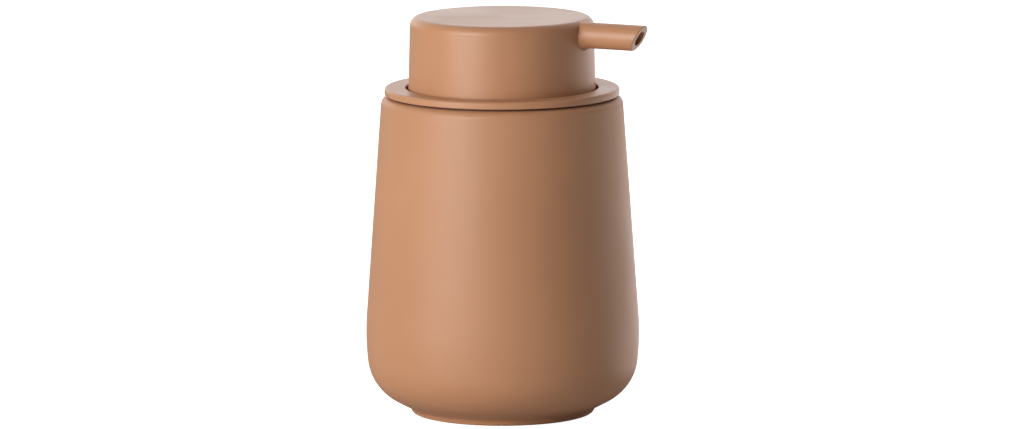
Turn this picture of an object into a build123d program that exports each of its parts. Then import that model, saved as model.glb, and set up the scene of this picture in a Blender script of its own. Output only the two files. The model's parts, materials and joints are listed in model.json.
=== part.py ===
from build123d import *

import os
from math import atan2, cos, degrees, radians, sin, tan

os.makedirs("parts", exist_ok=True)

# Soap pump dispenser. The origin is the centre of the foot's rest plane, +Z is up along the
# bottle's axis, and the spout points along +X. All sizes are in millimetres.

# ---- driving dimensions ----

# bottle
FOOT_RADIUS = 27.1
FOOT_HEIGHT = 1.7
RECESS_RADIUS = 22.6
RECESS_DEPTH = 1.6
FLOOR_Z = 6.0
WALL = 4.0
FLANK_BOTTOM_RADIUS = 39.95
FLANK_BOTTOM_Z = 29.5
FLANK_ANGLE = 4.08
BELLY_RADIUS = 79.3
BELLY_END_ANGLE = 6.1
HEEL_RADIUS = 14.5
HEEL_END_ANGLE = 63.5
RIM_Z = 93.7
RIM_ROUNDING = 2.2
MOUTH_RADIUS = 31.8
MOUTH_DEPTH = 9.7
MOUTH_ROUNDING = 0.8
SHOULDER_ROUNDING = 6.0
FOOT_ROUNDING = 0.8
RECESS_EDGE_ROUNDING = 0.5

# trim ring and well cup
RING_RADIUS = 34.45
RING_HOLE_RADIUS = 28.3
RING_BOTTOM_Z = 94.25
RING_TOP_Z = 96.4
RING_OUTER_ROUNDING = 0.5
RING_HOLE_ROUNDING = 0.35
RING_LOWER_ROUNDING = 0.3
LIP_RADIUS = 29.1
LIP_LENGTH = 6.0
WELL_RADIUS = 30.2
WELL_FLOOR_Z = 82.0
WELL_FLOOR_THICKNESS = 1.8
WELL_HOLE_RADIUS = 8.1
WELL_OUTER_ROUNDING = 1.5
WELL_INNER_ROUNDING = 0.8

# mouth seal
SEAL_SLEEVE_RADIUS = 30.9
SEAL_RIB_RADIUS = 31.7
SEAL_RIB_COUNT = 4
SEAL_RIB_PITCH = 2.2
SEAL_RIB_INSET = 1.0
SEAL_RIB_ROOT = 0.6
SEAL_RIB_CREST = 0.15
SEAL_RIB_OVERLAP = 0.1
SEAL_BOTTOM_Z = 85.0
SEAL_FLANGE_RADIUS = 33.4
SEAL_SEAT_GAP = 0.02

# head
HEAD_TOP_Z = 117.2
HEAD_TOP_RADIUS = 26.9
HEAD_SKIRT_RADIUS = 27.5
HEAD_SKIRT_Z = 93.5
HEAD_ROUNDING = 2.5
HEAD_WALL = 1.7
HEAD_TOP_THICKNESS = 1.5

# spout
SPOUT_Z = 113.15
SPOUT_RADIUS = 3.8
SPOUT_REACH = 44.9
SPOUT_SLANT = 27.0
SPOUT_BORE_RADIUS = 2.0
SPOUT_ROOT_START = 25.0
SPOUT_ROOT_END = 30.2
SPOUT_ROOT_RADIUS = 4.0
SPOUT_LIP_LENGTH = 5.0
LINER_RADIUS = 2.35
LINER_BORE_RADIUS = 1.7
LINER_START = 9.0
LINER_CLEARANCE = 0.05

# head core
CORE_BOSS_RADIUS = 6.2
CORE_BOSS_Z = 101.0
CORE_RING_RADIUS = 25.15
CORE_RING_THICKNESS = 1.5
CORE_RING_Z = 104.0
CORE_RIB_Z = 106.0
CORE_RIB_THICKNESS = 1.6
CORE_ARM_WIDTH = 8.4
CORE_ARM_Z = 107.8
CORE_ARM_INSET = 0.5
CORE_RISER_RADIUS = 2.2

# pump barrel
BARREL_RADIUS = 7.7
BARREL_BORE_RADIUS = 6.5
BARREL_FLANGE_RADIUS = 11.6
BARREL_FLANGE_THICKNESS = 1.4
BARREL_LEDGE_Z = 46.8
BARREL_BOTTOM_Z = 45.0
BARREL_BOTTOM_SLOPE = 1.5
BARREL_BOTTOM_ROUNDING = 0.8
CHAMBER_RADIUS = 3.2
CHAMBER_WALL = 1.6
THROAT_RADIUS = 1.3
THROAT_TOP_Z = 41.0
SOCKET_TOP_Z = 39.5
SOCKET_BOTTOM_Z = 31.5
SOCKET_RADIUS = 3.8
SOCKET_BORE_RADIUS = 2.62
VENT_RADIUS = 0.5
VENT_Z = 74.4
GASKET_THICKNESS = 0.8
GASKET_HOLE_RADIUS = 8.2
NUT_ACROSS_FLATS = 22.0
NUT_HEIGHT = 5.0
NUT_BORE_RADIUS = 7.75

# stem guide cap and wiper
CHAPLET_RADIUS = 13.0
CHAPLET_TOP_Z = 85.6
CHAPLET_PLUG_Z = 82.65
CHAPLET_CLEARANCE = 0.05
CHAPLET_ROUNDING = 0.8
TOWER_RADIUS = 6.0
TOWER_TOP_Z = 90.2
GUIDE_BORE_RADIUS = 3.58
WIPER_RADIUS = 4.9
WIPER_SEAT_Z = 88.6
WIPER_HEIGHT = 1.4
WIPER_BORE_RADIUS = 3.56
WIPER_LIP_SLOPE = 0.4

# stem, valve seat and piston
STEM_RADIUS = 3.5
STEM_BORE_RADIUS = 2.0
STEM_BOTTOM_Z = 72.0
STEM_TOP_Z = 108.0
STEM_SHOULDER_RADIUS = 4.2
STEM_SHOULDER_Z = 81.1
STEM_SHOULDER_HEIGHT = 1.5
STEM_CHAMFER = 0.5
PORT_RADIUS = 0.9
PORT_Z = 76.4
SEAT_FLANGE_RADIUS = 4.9
SEAT_FLANGE_THICKNESS = 1.0
SEAT_PLUG_LENGTH = 3.0
SEAT_PILOT_RADIUS = 4.0
SEAT_PILOT_LENGTH = 2.5
SEAT_PILOT_CHAMFER = 0.6
PISTON_BOTTOM_Z = 72.03
PISTON_TOP_Z = 80.0
PISTON_LIP_RADIUS = 6.46
PISTON_WAIST_RADIUS = 5.9
PISTON_LIP_HEIGHT = 1.2
PISTON_LIP_LEAD = 0.3
PISTON_LIP_SLOPE = 0.8
PISTON_RECESS_RADIUS = 4.2
PISTON_RECESS_DEPTH = 5.6
PISTON_BORE_RADIUS = 3.56
STEM_SOCKET_CLEARANCE = 0.05

# spring, ball, cage and dip tube
WIRE_RADIUS = 0.45
SPRING_RADIUS = 4.6
SPRING_PITCH = 2.6
CAGE_RADIUS = 6.4
CAGE_THICKNESS = 1.4
CAGE_PILOT_RADIUS = 4.0
CAGE_PILOT_HEIGHT = 2.0
CAGE_PORT_RADIUS = 0.9
CAGE_PORT_CIRCLE = 2.6
CAGE_PORT_COUNT = 4
BALL_RADIUS = 2.4
BALL_SEAT_CLEARANCE = 0.05
BALL_SEAT_ANGLE = 45.0
TUBE_RADIUS = 2.6
TUBE_BORE_RADIUS = 1.8
TUBE_BOTTOM_Z = 7.2
TUBE_END_SLANT = 35.0

# heights that follow from the ones above
WELL_BOTTOM_Z = WELL_FLOOR_Z - WELL_FLOOR_THICKNESS
FLANGE_BOTTOM_Z = WELL_FLOOR_Z + GASKET_THICKNESS
FLANGE_TOP_Z = FLANGE_BOTTOM_Z + BARREL_FLANGE_THICKNESS
HEAD_CEILING_Z = HEAD_TOP_Z - HEAD_TOP_THICKNESS
CAGE_TOP_Z = BARREL_LEDGE_Z + CAGE_THICKNESS
SEAT_BOTTOM_Z = STEM_BOTTOM_Z - SEAT_FLANGE_THICKNESS


def corners(sketch, *points):
    """The vertices of a sketch that lie nearest to the given (radius, height) points."""
    return [sketch.vertices().sort_by_distance((r, z, 0))[0] for r, z in points]


# ---- bottle: a wall of even thickness on a foot ring, drawn from the rim down ----

flank_slope = tan(radians(FLANK_ANGLE))
rim_radius = FLANK_BOTTOM_RADIUS - (RIM_Z - FLANK_BOTTOM_Z) * flank_slope
mouth_bottom_z = RIM_Z - MOUTH_DEPTH
inner_flank_radius = FLANK_BOTTOM_RADIUS - WALL
inner_flank_angle = degrees(atan2(inner_flank_radius - MOUTH_RADIUS, mouth_bottom_z - FLANK_BOTTOM_Z))

with BuildPart() as bottle:
    with BuildSketch(Plane.XZ) as bottle_profile:
        with BuildLine():
            flank = Line((rim_radius, RIM_Z), (FLANK_BOTTOM_RADIUS, FLANK_BOTTOM_Z))
            belly = JernArc(flank @ 1, flank % 1, BELLY_RADIUS, -(FLANK_ANGLE + BELLY_END_ANGLE))
            heel = JernArc(belly @ 1, belly % 1, HEEL_RADIUS, BELLY_END_ANGLE - HEEL_END_ANGLE)
            Polyline(heel @ 1, (FOOT_RADIUS, FOOT_HEIGHT), (FOOT_RADIUS, 0), (RECESS_RADIUS, 0))
            Polyline((RECESS_RADIUS, 0), (RECESS_RADIUS, RECESS_DEPTH), (0, RECESS_DEPTH), (0, FLOOR_Z))
            Polyline((rim_radius, RIM_Z), (MOUTH_RADIUS, RIM_Z), (MOUTH_RADIUS, mouth_bottom_z))
            inner_flank = Line((MOUTH_RADIUS, mouth_bottom_z), (inner_flank_radius, FLANK_BOTTOM_Z))
            inner_belly = JernArc(
                inner_flank @ 1,
                inner_flank % 1,
                BELLY_RADIUS - WALL,
                -(inner_flank_angle + BELLY_END_ANGLE),
            )
            inner_heel = JernArc(
                inner_belly @ 1,
                inner_belly % 1,
                HEEL_RADIUS - WALL,
                BELLY_END_ANGLE - HEEL_END_ANGLE,
            )
            heel_end = inner_heel @ 1
            floor_radius = heel_end.X - (heel_end.Y - FLOOR_Z) * tan(radians(HEEL_END_ANGLE))
            Polyline(heel_end, (floor_radius, FLOOR_Z), (0, FLOOR_Z))
        make_face()
        fillet(corners(bottle_profile, (rim_radius, RIM_Z)), RIM_ROUNDING)
        fillet(corners(bottle_profile, (MOUTH_RADIUS, RIM_Z)), MOUTH_ROUNDING)
        fillet(corners(bottle_profile, (FOOT_RADIUS, FOOT_HEIGHT)), FOOT_ROUNDING)
        fillet(corners(bottle_profile, (FOOT_RADIUS, 0)), FOOT_ROUNDING)
        fillet(corners(bottle_profile, (RECESS_RADIUS, 0)), RECESS_EDGE_ROUNDING)
        fillet(corners(bottle_profile, (RECESS_RADIUS, RECESS_DEPTH)), FOOT_ROUNDING)
        fillet(corners(bottle_profile, (MOUTH_RADIUS, mouth_bottom_z)), SHOULDER_ROUNDING)
    revolve(axis=Axis.Z)
bottle.part.label = "bottle"
export_step(bottle.part, "parts/bottle.step")

# ---- trim ring: a flat ring on the mouth with a lip that goes down into the well cup ----

with BuildPart() as trim_ring:
    with BuildSketch(Plane.XZ) as ring_profile:
        with BuildLine():
            Polyline(
                (RING_HOLE_RADIUS, RING_TOP_Z),
                (RING_RADIUS, RING_TOP_Z),
                (RING_RADIUS, RING_BOTTOM_Z),
                (LIP_RADIUS, RING_BOTTOM_Z),
                (LIP_RADIUS, RING_BOTTOM_Z - LIP_LENGTH),
                (RING_HOLE_RADIUS, RING_BOTTOM_Z - LIP_LENGTH),
                close=True,
            )
        make_face()
        fillet(corners(ring_profile, (RING_RADIUS, RING_TOP_Z)), RING_OUTER_ROUNDING)
        fillet(corners(ring_profile, (RING_RADIUS, RING_BOTTOM_Z)), RING_LOWER_ROUNDING)
        fillet(corners(ring_profile, (RING_HOLE_RADIUS, RING_TOP_Z)), RING_HOLE_ROUNDING)
    revolve(axis=Axis.Z)
trim_ring.part.label = "trim_ring"
export_step(trim_ring.part, "parts/trim_ring.step")

# ---- well cup: the cup in the mouth that the drum sinks into ----

with BuildPart() as well_cup:
    with BuildSketch(Plane.XZ) as cup_profile:
        with BuildLine():
            Polyline(
                (LIP_RADIUS, RING_BOTTOM_Z),
                (WELL_RADIUS, RING_BOTTOM_Z),
                (WELL_RADIUS, WELL_BOTTOM_Z),
                (WELL_HOLE_RADIUS, WELL_BOTTOM_Z),
                (WELL_HOLE_RADIUS, WELL_FLOOR_Z),
                (LIP_RADIUS, WELL_FLOOR_Z),
                close=True,
            )
        make_face()
        fillet(corners(cup_profile, (WELL_RADIUS, WELL_BOTTOM_Z)), WELL_OUTER_ROUNDING)
        fillet(corners(cup_profile, (LIP_RADIUS, WELL_FLOOR_Z)), WELL_INNER_ROUNDING)
    revolve(axis=Axis.Z)
well_cup.part.label = "well_cup"
export_step(well_cup.part, "parts/well_cup.step")

# ---- mouth seal: a silicone sleeve with ribs that grip the mouth and a flange over the rim ----

with BuildPart() as mouth_seal:
    with BuildSketch(Plane.XZ):
        with BuildLine():
            Polyline(
                (WELL_RADIUS, RING_BOTTOM_Z),
                (SEAL_FLANGE_RADIUS, RING_BOTTOM_Z),
                (SEAL_FLANGE_RADIUS, RIM_Z + SEAL_SEAT_GAP),
                (SEAL_SLEEVE_RADIUS, RIM_Z + SEAL_SEAT_GAP),
                (SEAL_SLEEVE_RADIUS, SEAL_BOTTOM_Z),
                (WELL_RADIUS, SEAL_BOTTOM_Z),
                close=True,
            )
        make_face()
        for i in range(SEAL_RIB_COUNT):
            rib_z = SEAL_BOTTOM_Z + SEAL_RIB_INSET + i * SEAL_RIB_PITCH
            with BuildLine():
                Polyline(
                    (SEAL_SLEEVE_RADIUS - SEAL_RIB_OVERLAP, rib_z - SEAL_RIB_ROOT),
                    (SEAL_RIB_RADIUS, rib_z - SEAL_RIB_CREST),
                    (SEAL_RIB_RADIUS, rib_z + SEAL_RIB_CREST),
                    (SEAL_SLEEVE_RADIUS - SEAL_RIB_OVERLAP, rib_z + SEAL_RIB_ROOT),
                    close=True,
                )
            make_face()
    revolve(axis=Axis.Z)
mouth_seal.part.label = "mouth_seal"
export_step(mouth_seal.part, "parts/mouth_seal.step")

# ---- head shell: the drum, hollow from below, with a hole for the liner ----

spout_plane = Plane(origin=(0, 0, SPOUT_Z), x_dir=(0, 1, 0), z_dir=(1, 0, 0))

with BuildSketch(Plane.XZ) as drum_outline:
    with BuildLine():
        Polyline(
            (0, HEAD_SKIRT_Z),
            (HEAD_SKIRT_RADIUS, HEAD_SKIRT_Z),
            (HEAD_TOP_RADIUS, HEAD_TOP_Z),
            (0, HEAD_TOP_Z),
            close=True,
        )
    make_face()
    fillet(corners(drum_outline, (HEAD_TOP_RADIUS, HEAD_TOP_Z)), HEAD_ROUNDING)

with BuildPart() as head_shell:
    revolve(drum_outline.sketch, axis=Axis.Z)
    with BuildSketch(Plane.XZ):
        with BuildLine():
            Polyline(
                (0, HEAD_SKIRT_Z),
                (HEAD_SKIRT_RADIUS - HEAD_WALL, HEAD_SKIRT_Z),
                (HEAD_TOP_RADIUS - HEAD_WALL, HEAD_CEILING_Z),
                (0, HEAD_CEILING_Z),
                close=True,
            )
        make_face()
    revolve(axis=Axis.Z, mode=Mode.SUBTRACT)
    with BuildSketch(spout_plane.offset(SPOUT_ROOT_START - HEAD_WALL)):
        Circle(LINER_RADIUS + LINER_CLEARANCE)
    extrude(amount=3 * HEAD_WALL, mode=Mode.SUBTRACT)
head_shell.part.label = "head_shell"
export_step(head_shell.part, "parts/head_shell.step")

# ---- spout: a tube that widens softly to a root shaped to the drum, cut at a slant ----

spout_axis = Axis((0, 0, SPOUT_Z), (1, 0, 0))
tube_end = SPOUT_REACH + SPOUT_RADIUS
shoulder_x = SPOUT_REACH - SPOUT_LIP_LENGTH

with BuildPart() as spout:
    with BuildSketch(Plane(origin=(0, 0, SPOUT_Z), x_dir=(1, 0, 0), z_dir=(0, -1, 0))):
        with BuildLine():
            Polyline(
                (SPOUT_ROOT_START, SPOUT_ROOT_RADIUS),
                (SPOUT_ROOT_START, LINER_RADIUS),
                (shoulder_x, LINER_RADIUS),
                (shoulder_x, SPOUT_BORE_RADIUS),
                (tube_end, SPOUT_BORE_RADIUS),
                (tube_end, SPOUT_RADIUS),
                (SPOUT_ROOT_END, SPOUT_RADIUS),
            )
            TangentArc(
                (SPOUT_ROOT_END, SPOUT_RADIUS),
                (SPOUT_ROOT_START, SPOUT_ROOT_RADIUS),
                tangent=(-1, 0),
            )
        make_face()
    revolve(axis=spout_axis)
    split(
        bisect_by=Plane(
            origin=(SPOUT_REACH, 0, SPOUT_Z),
            z_dir=(cos(radians(SPOUT_SLANT)), 0, -sin(radians(SPOUT_SLANT))),
        ),
        keep=Keep.BOTTOM,
    )
    revolve(drum_outline.sketch, axis=Axis.Z, mode=Mode.SUBTRACT)
spout.part.label = "spout"
export_step(spout.part, "parts/spout.step")

# ---- spout liner: a plastic tube from the head core to the shoulder near the tip ----

with BuildPart() as spout_liner:
    with BuildSketch(spout_plane.offset(LINER_START)):
        Circle(LINER_RADIUS)
        Circle(LINER_BORE_RADIUS, mode=Mode.SUBTRACT)
    extrude(amount=shoulder_x - LINER_START)
spout_liner.part.label = "spout_liner"
export_step(spout_liner.part, "parts/spout_liner.step")

# ---- head core: stem socket, elbow channel, ribs and the ring that fits the drum ----

with BuildPart() as head_core:
    with BuildSketch(Plane.XY.offset(CORE_BOSS_Z)):
        Circle(CORE_BOSS_RADIUS)
    extrude(amount=HEAD_CEILING_Z - CORE_BOSS_Z)
    with BuildSketch(Plane.XY.offset(CORE_RING_Z)):
        Circle(CORE_RING_RADIUS)
        Circle(CORE_RING_RADIUS - CORE_RING_THICKNESS, mode=Mode.SUBTRACT)
    extrude(amount=HEAD_CEILING_Z - CORE_RING_Z)
    with BuildSketch(Plane.XY.offset(CORE_RIB_Z)):
        Rectangle(2 * CORE_RING_RADIUS - CORE_RING_THICKNESS, CORE_RIB_THICKNESS)
        Rectangle(CORE_RIB_THICKNESS, 2 * CORE_RING_RADIUS - CORE_RING_THICKNESS)
    extrude(amount=HEAD_CEILING_Z - CORE_RIB_Z)
    with BuildSketch(Plane.XY.offset(CORE_ARM_Z)):
        Rectangle(CORE_RING_RADIUS - CORE_ARM_INSET, CORE_ARM_WIDTH, align=(Align.MIN, Align.CENTER))
    extrude(amount=HEAD_CEILING_Z - CORE_ARM_Z)
    with BuildSketch(Plane.XY.offset(CORE_BOSS_Z)):
        Circle(STEM_RADIUS + STEM_SOCKET_CLEARANCE)
    extrude(amount=STEM_TOP_Z + STEM_SOCKET_CLEARANCE - CORE_BOSS_Z, mode=Mode.SUBTRACT)
    with BuildSketch(Plane.XY.offset(STEM_TOP_Z)):
        Circle(CORE_RISER_RADIUS)
    extrude(amount=SPOUT_Z - STEM_TOP_Z, mode=Mode.SUBTRACT)
    with BuildSketch(spout_plane):
        Circle(LINER_BORE_RADIUS)
    extrude(amount=LINER_START, mode=Mode.SUBTRACT)
    with BuildSketch(spout_plane.offset(LINER_START)):
        Circle(LINER_RADIUS)
    extrude(amount=CORE_RING_RADIUS, mode=Mode.SUBTRACT)
head_core.part.label = "head_core"
export_step(head_core.part, "parts/head_core.step")

# ---- stem: the hollow piston rod, with a shoulder and two cross ports at its foot ----

with BuildPart() as stem:
    with BuildSketch(Plane.XZ) as stem_profile:
        with BuildLine():
            Polyline(
                (STEM_BORE_RADIUS, STEM_BOTTOM_Z),
                (STEM_RADIUS, STEM_BOTTOM_Z),
                (STEM_RADIUS, STEM_SHOULDER_Z),
                (STEM_SHOULDER_RADIUS, STEM_SHOULDER_Z),
                (STEM_SHOULDER_RADIUS, STEM_SHOULDER_Z + STEM_SHOULDER_HEIGHT),
                (STEM_RADIUS, STEM_SHOULDER_Z + STEM_SHOULDER_HEIGHT),
                (STEM_RADIUS, STEM_TOP_Z),
                (STEM_BORE_RADIUS, STEM_TOP_Z),
                close=True,
            )
        make_face()
        chamfer(corners(stem_profile, (STEM_RADIUS, STEM_TOP_Z)), STEM_CHAMFER)
    revolve(axis=Axis.Z)
    for port_plane in (Plane.XZ, Plane.YZ):
        with BuildSketch(port_plane):
            with Locations((0, PORT_Z)):
                Circle(PORT_RADIUS)
        extrude(amount=STEM_SHOULDER_RADIUS, both=True, mode=Mode.SUBTRACT)
stem.part.label = "stem"
export_step(stem.part, "parts/stem.step")

# ---- valve seat: plug in the stem's foot, flange for the piston, pilot for the spring ----

with BuildPart() as valve_seat:
    with BuildSketch(Plane.XZ) as seat_profile:
        with BuildLine():
            Polyline(
                (0, STEM_BOTTOM_Z + SEAT_PLUG_LENGTH),
                (STEM_BORE_RADIUS, STEM_BOTTOM_Z + SEAT_PLUG_LENGTH),
                (STEM_BORE_RADIUS, STEM_BOTTOM_Z),
                (SEAT_FLANGE_RADIUS, STEM_BOTTOM_Z),
                (SEAT_FLANGE_RADIUS, SEAT_BOTTOM_Z),
                (SEAT_PILOT_RADIUS, SEAT_BOTTOM_Z),
                (SEAT_PILOT_RADIUS, SEAT_BOTTOM_Z - SEAT_PILOT_LENGTH),
                (0, SEAT_BOTTOM_Z - SEAT_PILOT_LENGTH),
                close=True,
            )
        make_face()
        pilot_edge = (SEAT_PILOT_RADIUS, SEAT_BOTTOM_Z - SEAT_PILOT_LENGTH)
        chamfer(corners(seat_profile, pilot_edge), SEAT_PILOT_CHAMFER)
    revolve(axis=Axis.Z)
valve_seat.part.label = "valve_seat"
export_step(valve_seat.part, "parts/valve_seat.step")

# ---- piston: a lip at each end, a waist between them and a recess around the stem's ports ----

with BuildPart() as piston:
    with BuildSketch(Plane.XZ):
        with BuildLine():
            Polyline(
                (PISTON_RECESS_RADIUS, PISTON_BOTTOM_Z),
                (PISTON_WAIST_RADIUS, PISTON_BOTTOM_Z),
                (PISTON_LIP_RADIUS, PISTON_BOTTOM_Z + PISTON_LIP_LEAD),
                (PISTON_LIP_RADIUS, PISTON_BOTTOM_Z + PISTON_LIP_HEIGHT),
                (PISTON_WAIST_RADIUS, PISTON_BOTTOM_Z + PISTON_LIP_HEIGHT + PISTON_LIP_SLOPE),
                (PISTON_WAIST_RADIUS, PISTON_TOP_Z - PISTON_LIP_HEIGHT - PISTON_LIP_SLOPE),
                (PISTON_LIP_RADIUS, PISTON_TOP_Z - PISTON_LIP_HEIGHT),
                (PISTON_LIP_RADIUS, PISTON_TOP_Z - PISTON_LIP_LEAD),
                (PISTON_WAIST_RADIUS, PISTON_TOP_Z),
                (PISTON_BORE_RADIUS, PISTON_TOP_Z),
                (PISTON_BORE_RADIUS, PISTON_BOTTOM_Z + PISTON_RECESS_DEPTH),
                (PISTON_RECESS_RADIUS, PISTON_BOTTOM_Z + PISTON_RECESS_DEPTH),
                close=True,
            )
        make_face()
    revolve(axis=Axis.Z)
piston.part.label = "piston"
export_step(piston.part, "parts/piston.step")

# ---- return spring: an open coil between the cage and the valve seat ----

spring_bottom_z = CAGE_TOP_Z + WIRE_RADIUS
spring_height = SEAT_BOTTOM_Z - CAGE_TOP_Z - 2 * WIRE_RADIUS

with BuildPart() as return_spring:
    with BuildLine(Plane.XY.offset(spring_bottom_z)):
        coil = Helix(pitch=SPRING_PITCH, height=spring_height, radius=SPRING_RADIUS)
    with BuildSketch(Plane(origin=coil @ 0, z_dir=coil % 0)):
        Circle(WIRE_RADIUS)
    sweep(path=coil, is_frenet=True)
return_spring.part.label = "return_spring"
export_step(return_spring.part, "parts/return_spring.step")

# ---- pump housing: barrel, flange, ball chamber with its conical seat, and dip tube socket ----

chamber_outer_radius = CHAMBER_RADIUS + CHAMBER_WALL
seat_cone_top_z = THROAT_TOP_Z + CHAMBER_RADIUS - THROAT_RADIUS

with BuildPart() as pump_housing:
    with BuildSketch(Plane.XZ) as housing_profile:
        with BuildLine():
            Polyline(
                (BARREL_BORE_RADIUS, FLANGE_TOP_Z),
                (BARREL_FLANGE_RADIUS, FLANGE_TOP_Z),
                (BARREL_FLANGE_RADIUS, FLANGE_BOTTOM_Z),
                (BARREL_RADIUS, FLANGE_BOTTOM_Z),
                (BARREL_RADIUS, BARREL_BOTTOM_Z),
                (chamber_outer_radius, BARREL_BOTTOM_Z - BARREL_BOTTOM_SLOPE),
                (chamber_outer_radius, THROAT_TOP_Z),
                (SOCKET_RADIUS, SOCKET_TOP_Z),
                (SOCKET_RADIUS, SOCKET_BOTTOM_Z),
                (SOCKET_BORE_RADIUS, SOCKET_BOTTOM_Z),
                (SOCKET_BORE_RADIUS, SOCKET_TOP_Z),
                (THROAT_RADIUS, SOCKET_TOP_Z),
                (THROAT_RADIUS, THROAT_TOP_Z),
                (CHAMBER_RADIUS, seat_cone_top_z),
                (CHAMBER_RADIUS, BARREL_LEDGE_Z),
                (BARREL_BORE_RADIUS, BARREL_LEDGE_Z),
                close=True,
            )
        make_face()
        fillet(corners(housing_profile, (BARREL_RADIUS, BARREL_BOTTOM_Z)), BARREL_BOTTOM_ROUNDING)
    revolve(axis=Axis.Z)
    with BuildSketch(Plane.XZ):
        with Locations((0, VENT_Z)):
            Circle(VENT_RADIUS)
    extrude(amount=BARREL_FLANGE_RADIUS, mode=Mode.SUBTRACT)
pump_housing.part.label = "pump_housing"
export_step(pump_housing.part, "parts/pump_housing.step")

# ---- housing gasket: a flat washer between the well floor and the pump's flange ----

with BuildPart() as housing_gasket:
    with BuildSketch(Plane.XY.offset(WELL_FLOOR_Z)):
        Circle(BARREL_FLANGE_RADIUS)
        Circle(GASKET_HOLE_RADIUS, mode=Mode.SUBTRACT)
    extrude(amount=GASKET_THICKNESS)
housing_gasket.part.label = "housing_gasket"
export_step(housing_gasket.part, "parts/housing_gasket.step")

# ---- pump nut: a hexagon nut under the well floor ----

with BuildPart() as pump_nut:
    with BuildSketch(Plane.XY.offset(WELL_BOTTOM_Z - NUT_HEIGHT)):
        RegularPolygon(NUT_ACROSS_FLATS / 2, side_count=6, major_radius=False)
        Circle(NUT_BORE_RADIUS, mode=Mode.SUBTRACT)
    extrude(amount=NUT_HEIGHT)
    with BuildSketch(Plane.XZ):
        with BuildLine():
            Polyline(
                (NUT_ACROSS_FLATS / 2, WELL_BOTTOM_Z - NUT_HEIGHT),
                (NUT_ACROSS_FLATS, WELL_BOTTOM_Z - NUT_HEIGHT),
                (NUT_ACROSS_FLATS, WELL_BOTTOM_Z - NUT_HEIGHT + NUT_ACROSS_FLATS / 4),
                close=True,
            )
        make_face()
    revolve(axis=Axis.Z, mode=Mode.SUBTRACT)
pump_nut.part.label = "pump_nut"
export_step(pump_nut.part, "parts/pump_nut.step")

# ---- chaplet: the guide cap over the pump's flange, with a tower that guides the stem ----

with BuildPart() as chaplet:
    with BuildSketch(Plane.XZ) as chaplet_profile:
        with BuildLine():
            Polyline(
                (GUIDE_BORE_RADIUS, CHAPLET_PLUG_Z),
                (BARREL_BORE_RADIUS - CHAPLET_CLEARANCE, CHAPLET_PLUG_Z),
                (BARREL_BORE_RADIUS - CHAPLET_CLEARANCE, FLANGE_TOP_Z),
                (BARREL_FLANGE_RADIUS + CHAPLET_CLEARANCE, FLANGE_TOP_Z),
                (BARREL_FLANGE_RADIUS + CHAPLET_CLEARANCE, WELL_FLOOR_Z),
                (CHAPLET_RADIUS, WELL_FLOOR_Z),
                (CHAPLET_RADIUS, CHAPLET_TOP_Z),
                (TOWER_RADIUS, CHAPLET_TOP_Z),
                (TOWER_RADIUS, TOWER_TOP_Z),
                (WIPER_RADIUS, TOWER_TOP_Z),
                (WIPER_RADIUS, WIPER_SEAT_Z),
                (GUIDE_BORE_RADIUS, WIPER_SEAT_Z),
                close=True,
            )
        make_face()
        fillet(corners(chaplet_profile, (CHAPLET_RADIUS, CHAPLET_TOP_Z)), CHAPLET_ROUNDING)
        fillet(corners(chaplet_profile, (TOWER_RADIUS, CHAPLET_TOP_Z)), CHAPLET_ROUNDING)
    revolve(axis=Axis.Z)
chaplet.part.label = "chaplet"
export_step(chaplet.part, "parts/chaplet.step")

# ---- stem wiper: a lip seal in the tower's top ----

with BuildPart() as stem_wiper:
    with BuildSketch(Plane.XZ):
        with BuildLine():
            Polyline(
                (WIPER_BORE_RADIUS + WIPER_LIP_SLOPE, WIPER_SEAT_Z),
                (WIPER_RADIUS, WIPER_SEAT_Z),
                (WIPER_RADIUS, WIPER_SEAT_Z + WIPER_HEIGHT),
                (WIPER_BORE_RADIUS, WIPER_SEAT_Z + WIPER_HEIGHT),
                (WIPER_BORE_RADIUS, WIPER_SEAT_Z + WIPER_HEIGHT / 2),
                close=True,
            )
        make_face()
    revolve(axis=Axis.Z)
stem_wiper.part.label = "stem_wiper"
export_step(stem_wiper.part, "parts/stem_wiper.step")

# ---- ball cage: spring seat with a pilot, pierced by four flow holes ----

with BuildPart() as ball_cage:
    with BuildSketch(Plane.XY.offset(BARREL_LEDGE_Z)):
        Circle(CAGE_RADIUS)
    extrude(amount=CAGE_THICKNESS)
    with BuildSketch(Plane.XY.offset(CAGE_TOP_Z)):
        Circle(CAGE_PILOT_RADIUS)
    extrude(amount=CAGE_PILOT_HEIGHT)
    with BuildSketch(Plane.XY.offset(BARREL_LEDGE_Z)):
        with PolarLocations(CAGE_PORT_CIRCLE, CAGE_PORT_COUNT):
            Circle(CAGE_PORT_RADIUS)
    extrude(amount=CAGE_THICKNESS + CAGE_PILOT_HEIGHT, mode=Mode.SUBTRACT)
ball_cage.part.label = "ball_cage"
export_step(ball_cage.part, "parts/ball_cage.step")

# ---- inlet ball: it rests in the 45 degree seat of the housing ----

cone_apex_z = THROAT_TOP_Z - THROAT_RADIUS
ball_z = cone_apex_z + (BALL_RADIUS + BALL_SEAT_CLEARANCE) / sin(radians(BALL_SEAT_ANGLE))

with BuildPart() as inlet_ball:
    with Locations((0, 0, ball_z)):
        Sphere(BALL_RADIUS)
inlet_ball.part.label = "inlet_ball"
export_step(inlet_ball.part, "parts/inlet_ball.step")

# ---- dip tube: from the socket to just above the bottle's floor, its end cut at a slant ----

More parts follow.
